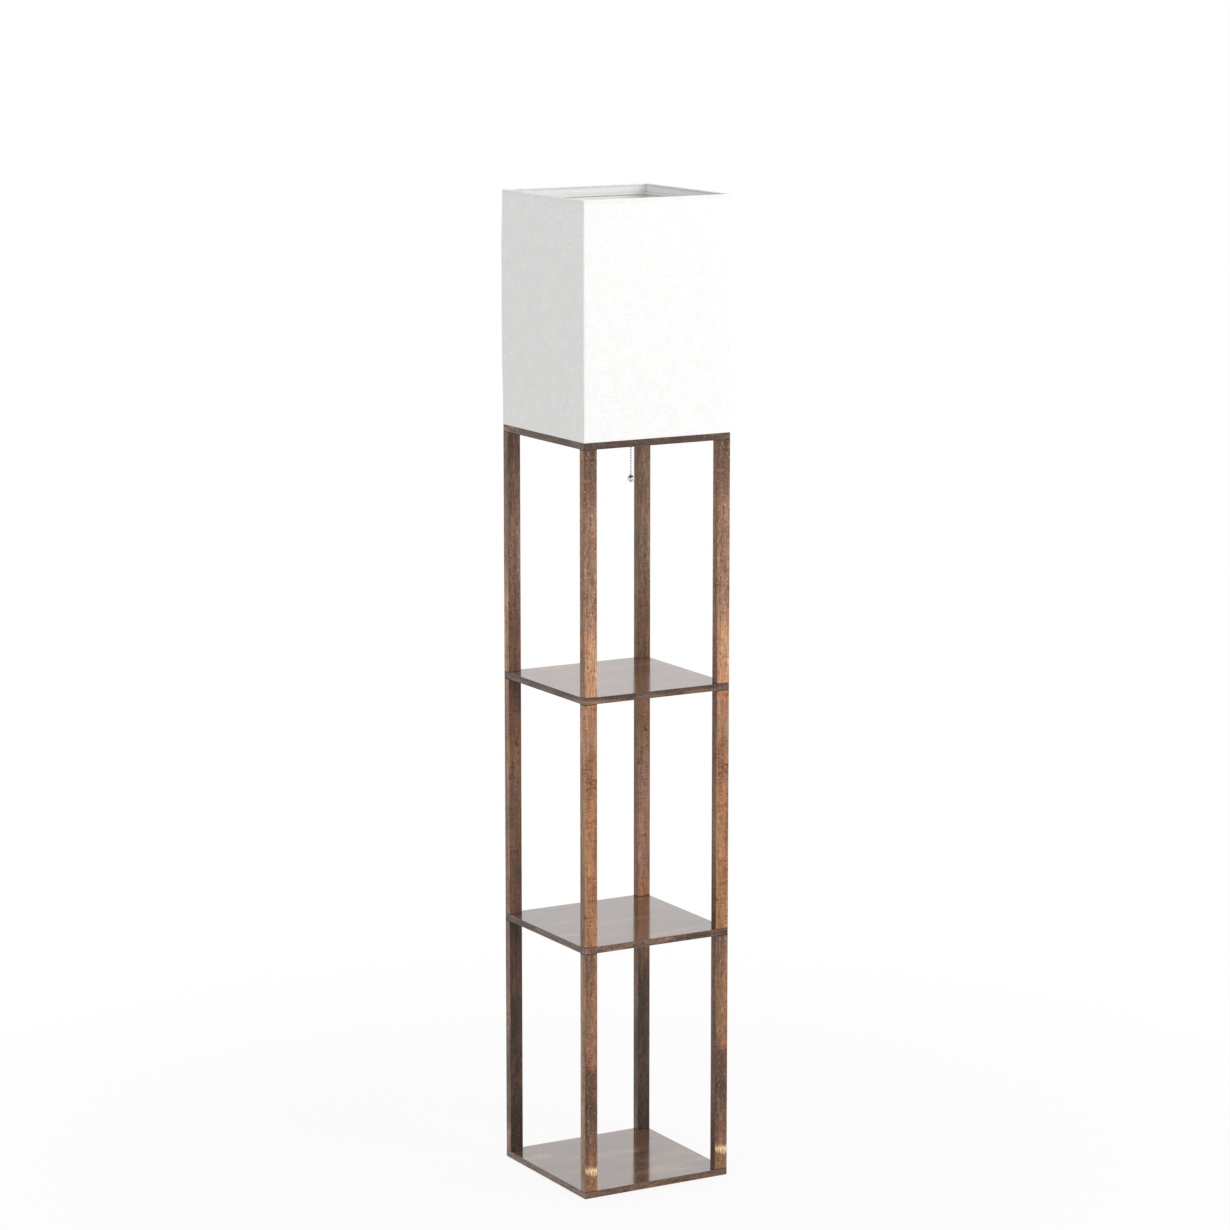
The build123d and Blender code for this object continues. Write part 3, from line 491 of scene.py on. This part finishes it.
# the same foil on the boards, grain running left to right: on the faces a smooth lacquer in which the posts
# mirror, on the edge strips the matt one of the posts
def makeBoardFoil(name, look):
    low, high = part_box(name)
    material, tree = startMaterial("rusticFoil_" + name)
    spot, normal = surfacePoint(tree)
    onTop = looksAlong(tree, "Z", normal)
    onFlank = looksAlong(tree, "X", normal)
    # on the two flanks the edge strip's grain runs along Y
    axes = addNode(tree, "SeparateXYZ", {0: spot})
    turned = addNode(tree, "CombineXYZ", {0: axes.outputs["Y"], 1: axes.outputs["X"], 2: axes.outputs["Z"]})
    spot = addNode(tree, "Mix", {"Factor": onFlank, "A": spot, "B": turned}, data_type="VECTOR")
    spot = addNode(tree, "VectorMath", {0: spot, 1: look["shift"]}, operation="ADD")
    along, across = board["plank"]
    planks = stretchedNoise(tree, spot, (along, across, across), detail=4.0, roughness=0.55)
    tones = {}
    for part in ("face", "edge", "flank"):
        dark, plain, light = look[part]
        stops = rampOf(zip(board[part + "Places"], (dark, plain, plain, light)))
        tones[part] = addNode(tree, "ValToRGB", {"Fac": planks}, stops=stops)
    face = addNode(tree, "VectorMath", {0: tones["face"], 1: board["warmth"]}, operation="MULTIPLY")
    strip = addNode(tree, "Mix", {"Factor": onFlank, "A": tones["edge"], "B": tones["flank"]},
                    data_type="RGBA")
    middle, half = (low.z + high.z) / 2 / mm, (high.z - low.z) / 2 / mm
    fromMiddle = addNode(tree, "Math", {0: axes.outputs["Z"], 1: middle}, operation="SUBTRACT")
    fromMiddle = addNode(tree, "Math", {0: fromMiddle}, operation="ABSOLUTE")
    # painted shade, darker towards the upper and lower corners of the edge strip
    shaded = addNode(tree, "MapRange", {
        "Value": fromMiddle, "From Min": half - board["arris"], "From Max": half,
        "To Min": board["stripShade"], "To Max": board["arrisShade"]})
    strip = addNode(tree, "VectorMath", {0: strip, "Scale": shaded}, operation="SCALE")
    tone = addNode(tree, "Mix", {"Factor": onTop, "A": strip, "B": face}, data_type="RGBA")
    cracked = addNode(tree, "MapRange", {"Value": onTop, "To Min": board["edgeCracks"], "To Max": 1.0})
    tone, relief, streak = agePrint(tree, spot, tone, board, cracked)
    glossy = addNode(tree, "MapRange", {
        "Value": streak, "From Min": noiseLow, "From Max": noiseHigh,
        "To Min": board["roughness"] + board["glossChange"],
        "To Max": board["roughness"] - board["glossChange"]})
    roughness = addNode(tree, "Mix", {"Factor": onTop, "A": post["roughness"], "B": glossy},
                        data_type="FLOAT")
    coat = addNode(tree, "Math", {0: onTop, 1: look["coat"]}, operation="MULTIPLY")
    bump = addNode(tree, "Bump", {"Height": relief, "Strength": 0.4, "Distance": board["relief"] * mm})
    surface = addNode(tree, "BsdfPrincipled", {
        "Base Color": tone, "Roughness": roughness, "IOR": board["ior"], "Specular IOR Level": board["gloss"],
        "Normal": bump, "Coat Weight": coat, "Coat Roughness": board["coatRoughness"],
        "Coat IOR": board["ior"]})
    addNode(tree, "OutputMaterial", {"Surface": surface})
    paint(material, nodes[name])


for name, look in boardLooks.items():
    makeBoardFoil(name, look)
print("boards papered")


# quads between each ring of vertices and the next, every ring closed on itself
def joinRings(shape, rings):
    for lower, upper in zip(rings, rings[1:]):
        for i in range(len(lower)):
            shape.faces.new((lower[i - 1], lower[i], upper[i], upper[i - 1]))


def addPiece(name, shape):  # the bmesh as an object, its quads smooth and its end caps flat
    bmesh.ops.recalc_face_normals(shape, faces=shape.faces)
    for face in shape.faces:
        face.smooth = len(face.verts) == 4
    mesh = bpy.data.meshes.new(name)
    shape.to_mesh(mesh)
    shape.free()
    piece = bpy.data.objects.new(name, mesh)
    bpy.context.scene.collection.objects.link(piece)
    return piece


shade = dict(
    thickness=0.6 * mm,
    linerGap=1.4 * mm,  # from the outer face to the liner's room side
    turnIn=2.0 * mm,  # from the outer face to the hem's room side
    roll=1.6 * mm,  # radius of the cloth's roll over the rim
    rollProud=0.4 * mm,  # how far it stands out over the faces
    hem=15.0 * mm,
    hemBevel=0.2 * mm,
    corner=1.6 * mm, cornerLeast=0.35 * mm,  # radius on the outer face, and the least one inside it
    bow=1.5 * mm,  # the cloth stands proud of the liner over the upper middle
    # how far below the rim the bow starts, is full, starts to fall back and is gone
    bowFoot=348.0 * mm, bowFrom=253.0 * mm, bowTo=83.0 * mm, bowHead=13.0 * mm,
    unevenness=0.12 * mm,
    waves=((1.0, 38, 30), (0.5, 110, 90)),  # share of the unevenness, waves in a metre across and up
    lap=13.0 * mm,  # overlap of the cloth's two ends, on the back face beside the far corner
    lapRise=0.5 * mm,
    lapSlope=0.0008,  # width of its step, as a share of the side
    wallRows=56, rollSteps=14, foldSteps=8, sideSteps=44, cornerSteps=5,
    hemRows=(3.0 * mm, 7.0 * mm), footRows=(9.0 * mm, 4.0 * mm, 0.0),  # below the roll and above the fold
)


def smooth(value, low, high):
    share = min(max((value - low) / (high - low), 0.0), 1.0)
    return share * share * (3 - 2 * share)


def bowAt(z, rim):
    rise = smooth(z, rim - shade["bowFoot"], rim - shade["bowFrom"])
    fall = smooth(z, rim - shade["bowTo"], rim - shade["bowHead"])
    return shade["bow"] * rise * (1 - fall)


# one closed outline of the cloth's section, as (inset from the outer face, height, share of the bow): up the
# outside, round the roll at the rim, down the hem, and back inside the cloth to the folded foot
def clothSection(foot, rim):
    deep, thick, gap = shade["turnIn"], shade["thickness"], shade["linerGap"]
    radius = shade["roll"]
    middle = radius - shade["rollProud"]
    centre = rim - radius
    hemEnd = rim - shade["hem"]
    fold = deep / 2
    bottom = foot + fold
    footEnd = foot + shade["hem"]
    bevel = shade["hemBevel"]

    # round the roll, from one inset on its outer half to one on its inner half
    def arc(reach, outside, roomSide):
        start = -math.acos((middle - outside) / reach)
        end = math.pi + math.acos((roomSide - middle) / reach)
        angles = [start + (end - start) * i / shade["rollSteps"] for i in range(shade["rollSteps"] + 1)]
        return [(middle - reach * math.cos(a), centre + reach * math.sin(a), 0.0) for a in angles]

    def wall(inset, top):
        rows = shade["wallRows"]
        return [(inset, bottom + (top - bottom) * i / rows, 1.0) for i in range(rows)]

    def footFold(reach):
        angles = [math.pi * i / shade["foldSteps"] for i in range(1, shade["foldSteps"])]
        return [(fold - reach * math.cos(a), bottom - reach * math.sin(a), 0.0) for a in angles]

    outside = arc(radius, 0.0, deep)
    inside = arc(radius - thick, thick, gap)[::-1]
    outline = wall(0.0, outside[0][1]) + outside
    outline += [(deep, outside[-1][1] - drop, 0.0) for drop in shade["hemRows"]]
    outline += [(deep, hemEnd + bevel, 0.0), (deep - bevel, hemEnd, 0.0), (gap, hemEnd, 0.0)]
    outline += inside + wall(thick, inside[-1][1])[::-1] + footFold(fold - thick)
    outline += [(gap, bottom, 0.0), (gap, footEnd, 0.0)]
    outline += [(deep - bevel, footEnd, 0.0), (deep, footEnd - bevel, 0.0)]
    outline += [(deep, bottom + rise, 0.0) for rise in shade["footRows"]]
    outline += footFold(fold)[::-1]
    return outline


# points round the square, as (x, y, outward x, outward y, on the lap); the lap lies on the back face
def clothRound(half, inset):
    reach = half - inset
    radius = max(shade["corner"] - inset, shade["cornerLeast"])
    run = reach - radius
    lapEdge, slope = (shade["lap"] - half) / run, shade["lapSlope"]
    steps = [-1 + 2 * i / shade["sideSteps"] for i in range(shade["sideSteps"] + 1)]
    backSteps = sorted([-s for s in steps] + [lapEdge - slope, lapEdge + slope])
    points = []
    for side, facing in (("front", -90), ("right", 0), ("back", 90), ("left", 180)):
        outward = Vector((math.cos(math.radians(facing)), math.sin(math.radians(facing))))
        along = Vector((-outward.y, outward.x))
        for s in backSteps if side == "back" else steps:
            spot = outward * reach + along * run * s
            onLap = side == "back" and spot.x > half - shade["lap"]
            points.append((spot.x, spot.y, outward.x, outward.y, onLap))
        middle = outward * run + along * run
        for i in range(1, shade["cornerSteps"]):
            angle = math.radians(facing + 90 * i / shade["cornerSteps"])
            out = Vector((math.cos(angle), math.sin(angle)))
            spot = middle + out * radius
            onLap = side == "right" and i > shade["cornerSteps"] / 2
            points.append((spot.x, spot.y, out.x, out.y, onLap))
    return points


def makeCloth():
    low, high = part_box("shade_fabric")
    half = high.x
    cover = bmesh.new()
    rings = []
    for inset, z, bowShare in clothSection(low.z, high.z):
        ring = []
        for x, y, outX, outY, onLap in clothRound(half, inset):
            wave = sum(share * noise.noise(Vector((x * level, y * level, z * upright)))
                       for share, level, upright in shade["waves"])
            push = (bowAt(z, high.z) + wave * shade["unevenness"]) * bowShare
            if onLap and inset < shade["thickness"] / 2:
                push += shade["lapRise"]
            ring.append(cover.verts.new((x + outX * push, y + outY * push, z)))
        rings.append(ring)
    joinRings(cover, rings + rings[:1])
    cloth = addPiece("linen_cover", cover)
    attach(cloth, "lamp")
    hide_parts("shade_fabric")
    return cloth


linen = dict(
    colour="#f0f0f0",
    slub=(2.4, 22.0),  # mm, width and length of the yarn's thick and thin places
    thread=(0.8, 4.8),  # mm, the same of single threads, 1.6 apart: coarser than the real 0.6, to show
    cloud=30.0,  # mm
    # lightness: from one value of the noise to another, it goes from one share to another
    slubLight=(0.75, 1.2, 0.96, 1.01),
    thickLight=(0.62, 0.70, 1.0, 1.09),
    threadLight=(0.7, 1.3, 0.98, 1.02),
    cloudLight=(0.3, 0.7, 0.985, 1.01),
    flankShift=37.0,  # how far apart in the noise the flanks lie from the front and back
    relief=0.10,  # mm
    roughness=0.9,
    gloss=0.25,
    ior=1.45,
    sheen=0.08,
)


# bleached linen, plain woven from uneven yarn: matt, with short thick threads both ways and a faint sheen
def makeLinen():
    material, tree = startMaterial("bleachedLinen")
    spot, normal = surfacePoint(tree)
    axes = addNode(tree, "SeparateXYZ", {0: spot})
    onFlank = looksAlong(tree, "X", normal, least=0.7)
    along = addNode(tree, "Mix", {"Factor": onFlank, "A": axes.outputs["X"], "B": axes.outputs["Y"]},
                    data_type="FLOAT")
    flat = addNode(tree, "CombineXYZ", {0: along, 1: onFlank, 2: axes.outputs["Z"]})

    def threads(width, length, seed, detail=2.0):
        return stretchedNoise(tree, flat, (width, 1 / linen["flankShift"], length), seed, detail)

    width, length = linen["slub"]
    warp, weft = threads(width, length, seed=3.0), threads(length, width, seed=11.0)
    slubs = addNode(tree, "Math", {0: warp, 1: weft}, operation="ADD")
    thick = addNode(tree, "Math", {0: warp, 1: weft}, operation="MAXIMUM")
    width, length = linen["thread"]
    warp, weft = threads(width, length, seed=19.0), threads(length, width, seed=29.0)
    fine = addNode(tree, "Math", {0: warp, 1: weft}, operation="ADD")
    cloud = threads(linen["cloud"], linen["cloud"], seed=41.0, detail=3.0)
    light = 1.0
    for source, key in ((slubs, "slubLight"), (thick, "thickLight"), (fine, "threadLight"),
                        (cloud, "cloudLight")):
        start, end, darker, paler = linen[key]
        change = addNode(tree, "MapRange", {"Value": source, "From Min": start, "From Max": end,
                                            "To Min": darker, "To Max": paler})
        light = addNode(tree, "Math", {0: light, 1: change}, operation="MULTIPLY")
    tone = addNode(tree, "VectorMath", {0: toLinear(linen["colour"])[:3], "Scale": light},
                   operation="SCALE")
    height = addNode(tree, "Math", {0: slubs, 1: fine}, operation="ADD")
    bump = addNode(tree, "Bump", {"Height": height, "Strength": 0.55, "Distance": linen["relief"] * mm})
    surface = addNode(tree, "BsdfPrincipled", {
        "Base Color": tone, "Roughness": linen["roughness"], "IOR": linen["ior"],
        "Specular IOR Level": linen["gloss"], "Normal": bump, "Sheen Weight": linen["sheen"],
        "Sheen Roughness": 0.5})
    addNode(tree, "OutputMaterial", {"Surface": surface})
    return material


cloth = makeCloth()
paint(makeLinen(), cloth)
print("shade covered:", len(cloth.data.polygons), "faces")


# colour and roughness that change a little in soft clouds; gloss: least and most of the stated roughness
def cloudedSkin(tree, spot, look, gloss):
    cloud = stretchedNoise(tree, spot, (look["cloud"],) * 3, detail=4.0, roughness=0.6)
    tint = addNode(tree, "Mix", {"Factor": cloud, "A": toLinear(look["dark"]), "B": toLinear(look["colour"])},
                   data_type="RGBA")
    roughness = addNode(tree, "MapRange", {
        "Value": cloud, "From Min": noiseLow, "From Max": noiseHigh,
        "To Min": look["roughness"] * gloss[0], "To Max": look["roughness"] * gloss[1]})
    return cloud, tint, roughness


# plated, drawn and turned metals; in mm: size of the clouds or spangle, pitch of the tool marks, their depth
metals = dict(
    # zinc plated on steel: bluish grey, faintly clouded
    zincPlate=dict(colour="#b9bcc0", dark="#8f9296", roughness=0.34, cloud=1.6, marks=0.35, relief=0.01),
    # brass turned from bar: warm yellow, with fine rings
    turnedBrass=dict(colour="#cfa860", dark="#a37c3c", roughness=0.26, cloud=2.5, marks=0.30, relief=0.01),
    # hard drawn steel wire: bare grey, with a broken shine
    drawnSteelWire=dict(colour="#9b9da0", dark="#6f7174", roughness=0.30, cloud=0.8, marks=0.25,
                        relief=0.005),
    # steel strip rolled to beads and nickel plated: pale, with a soft bright spot on each
    nickelPlate=dict(colour="#f2f3f4", dark="#e2e4e6", roughness=0.32, cloud=3.0, marks=0.6, relief=0.002),
    # polished chrome plate: a cool mirror, nearly free of marks
    polishedChrome=dict(colour="#dcdee0", dark="#cfd1d4", roughness=0.12, cloud=3.0, marks=0.6,
                        relief=0.001),
    # aluminium drawn to a cap: pale satin
    drawnAluminium=dict(colour="#c3c5c8", dark="#a1a3a6", roughness=0.32, cloud=1.2, marks=0.30,
                        relief=0.008),
)
metalSkin = dict(
    gloss=(0.75, 1.35),
    markLength=20 / 3,  # mm, how far a tool mark runs on round the vertical axis
)


# metal whose tint and gloss change a little over the surface, as plating, handling and tooling leave it
def makeMetal(name):
    look = metals[name]
    material, tree = startMaterial(name)
    spot = surfacePoint(tree)[0]
    cloud, tint, roughness = cloudedSkin(tree, spot, look, metalSkin["gloss"])
    length = metalSkin["markLength"]
    rings = stretchedNoise(tree, spot, (length, length, look["marks"]))
    height = addNode(tree, "Math", {0: cloud, 1: rings}, operation="ADD")
    bump = addNode(tree, "Bump", {"Height": height, "Strength": 0.5, "Distance": look["relief"] * mm})
    surface = addNode(tree, "BsdfPrincipled", {
        "Base Color": tint, "Metallic": 1.0, "Roughness": roughness, "Normal": bump})
    addNode(tree, "OutputMaterial", {"Surface": surface})
    return material


# moulded, coated and blown skins; in mm: size of the clouds, of the skin's texture, its depth
mouldings = dict(
    # styrene rolled to sheet: even white, faintly shiny
    styreneSheet=dict(colour="#fbfbf9", dark="#f5f4f1", roughness=0.45, cloud=25.0, texture=0.8,
                      relief=0.006, ior=1.59),
    # polyester powder baked on steel wire: soft white, with a fine orange peel
    powderCoat=dict(colour="#eeede9", dark="#dddbd5", roughness=0.42, cloud=6.0, texture=0.7,
                    relief=0.03, ior=1.5),
    # pressed phenolic: brownish black, with a hard shine
    blackPhenolic=dict(colour="#1b1918", dark="#12100f", roughness=0.28, cloud=8.0, texture=1.2,
                       relief=0.008, ior=1.6),
    # pressed urea resin: cream, dull
    creamUrea=dict(colour="#d8ccae", dark="#c6b896", roughness=0.5, cloud=5.0, texture=0.6,
                   relief=0.01, ior=1.58),
    # pressed black glass: smooth, nearly mirror bright
    pressedGlass=dict(colour="#17161a", dark="#0d0c0f", roughness=0.18, cloud=3.0, texture=1.0,
                      relief=0.004, ior=1.52),
    # moulded polycarbonate: warm white, satin
    whitePolycarbonate=dict(colour="#e9e8e4", dark="#dddbd6", roughness=0.4, cloud=12.0, texture=0.8,
                            relief=0.008, ior=1.58),
    # blown opal acrylic: milky, softly bright
    opalAcrylic=dict(colour="#f3f2ee", dark="#eae8e2", roughness=0.32, cloud=18.0, texture=1.5,
                     relief=0.004, ior=1.49),
    # moulded rubber: charcoal, dull
    blackRubber=dict(colour="#232222", dark="#171616", roughness=0.62, cloud=4.0, texture=0.5,
                     relief=0.02, ior=1.52),
)
mouldedSkin = dict(gloss=(0.85, 1.2))


# slight unevenness of colour, and the fine skin that a mould or powder leaves
def makeMoulding(name):
    look = mouldings[name]
    material, tree = startMaterial(name)
    spot = surfacePoint(tree)[0]
    cloud, tint, roughness = cloudedSkin(tree, spot, look, mouldedSkin["gloss"])
    skin = stretchedNoise(tree, spot, (look["texture"],) * 3)
    bump = addNode(tree, "Bump", {"Height": skin, "Strength": 0.5, "Distance": look["relief"] * mm})
    surface = addNode(tree, "BsdfPrincipled", {
        "Base Color": tint, "Roughness": roughness, "IOR": look["ior"], "Normal": bump})
    addNode(tree, "OutputMaterial", {"Surface": surface})
    return material


felt = dict(
    colour="#4a3528", dark="#2f2119",
    fibre=(0.9, 4.0),  # mm, width and length: drawn wider than the real 0.02, to show
    density=(0.15, 0.38),  # values of the noise between which the fibres close up
    relief=0.12,  # mm
    roughness=0.95,
    gloss=0.2,
    ior=1.5,
    sheen=0.3,
)


# pressed wool felt: matt, with short fibres lying every way
def makeFelt():
    material, tree = startMaterial("brownFelt")
    spot = surfacePoint(tree)[0]
    width, length = felt["fibre"]
    fibres = 1.0
    for across, along in ((width, length), (length, width)):
        layer = stretchedNoise(tree, spot, (across, along, width), detail=3.0, distortion=0.8)
        fibres = addNode(tree, "Math", {0: fibres, 1: layer}, operation="MULTIPLY")
    loose, dense = felt["density"]
    mask = addNode(tree, "MapRange", {"Value": fibres, "From Min": loose, "From Max": dense})
    tint = addNode(tree, "Mix", {"Factor": mask, "A": toLinear(felt["dark"]), "B": toLinear(felt["colour"])},
                   data_type="RGBA")
    bump = addNode(tree, "Bump", {"Height": mask, "Strength": 0.8, "Distance": felt["relief"] * mm})
    surface = addNode(tree, "BsdfPrincipled", {
        "Base Color": tint, "Roughness": felt["roughness"], "IOR": felt["ior"],
        "Specular IOR Level": felt["gloss"], "Normal": bump, "Sheen Weight": felt["sheen"],
        "Sheen Roughness": 0.5})
    addNode(tree, "OutputMaterial", {"Surface": surface})
    return material


spring = dict(
    wire=0.4 * mm,
    turns=4,
    closed=0.75,  # turns at each end that lie nearly flat, so that it stands square
    closedPitch=1.2,  # their rise in a turn, in wire thicknesses
    steps=28, sides=10,
    pressed=0.14,  # what is left of its height when the lever is down
)


# the return spring under the switch's lever, round the chain, drawn at rest; the chain presses it together
# when pulled
def makeSpring():
    low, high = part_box("return_spring")
    wire, turns, closed = spring["wire"], spring["turns"], spring["closed"]
    middle = (low + high) / 2
    radius = (high.x - low.x - wire) / 2
    endPitch = spring["closedPitch"] * wire
    pitch = (high.z - low.z - wire - 2 * closed * endPitch) / (turns - 2 * closed)
    around = [2 * math.pi * side / spring["sides"] for side in range(spring["sides"])]
    up = Vector((0, 0, 1))
    coil = bmesh.new()
    rings = []
    for i in range(turns * spring["steps"] + 1):
        turn = i / spring["steps"]
        free = min(max(turn - closed, 0.0), turns - 2 * closed)
        rise = pitch * free + endPitch * (turn - free)
        angle = 2 * math.pi * turn
        outward = Vector((math.cos(angle), math.sin(angle), 0))
        centre = Vector((middle.x, middle.y, low.z + wire / 2 + rise)) + outward * radius
        rings.append([coil.verts.new(centre + (outward * math.cos(a) + up * math.sin(a)) * wire / 2)
                      for a in around])
    joinRings(coil, rings)
    coil.faces.new(rings[0])
    coil.faces.new(rings[-1])
    wound = addPiece("wound_spring", coil)
    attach(wound, "lamp")
    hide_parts("return_spring")
    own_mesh(wound)
    return wound


finishes = dict(
    zincPlate=["base_screws", "lower_studs", "middle_studs", "top_screws", "lower_post_inserts",
               "middle_post_inserts", "upper_post_inserts", "lampholder_nipple", "nipple_nuts",
               "nipple_washer"],
    turnedBrass=["screw_shell", "centre_contact", "terminal_screws", "switch_lever", "lever_pin",
                 "bulb_contact"],
    nickelPlate=["pull_chain_upper", "pull_chain_swivel", "pull_chain_end", "ball_collar"],
    polishedChrome=["pull_ball", "chain_eyelet"],
    drawnAluminium=["bulb_cap", "bulb_light_board"],
    styreneSheet=["shade_liner"],
    powderCoat=["shade_top_ring", "shade_bottom_ring", "shade_spider"],
    blackPhenolic=["lampholder_cap", "lampholder_shell", "chain_outlet"],
    creamUrea=["switch_block"],
    pressedGlass=["bulb_insulator"],
    whitePolycarbonate=["bulb_housing"],
    opalAcrylic=["bulb_dome"],
    blackRubber=["cord_gland"],
)
for finish, members in finishes.items():
    material = makeMetal(finish) if finish in metals else makeMoulding(finish)
    paint(material, *[nodes[name] for name in members])
paint(makeMetal("drawnSteelWire"), makeSpring())
paint(makeFelt(), nodes["floor_pads"])
print("fittings finished:", sum(len(members) for members in finishes.values()) + 2, "pieces")
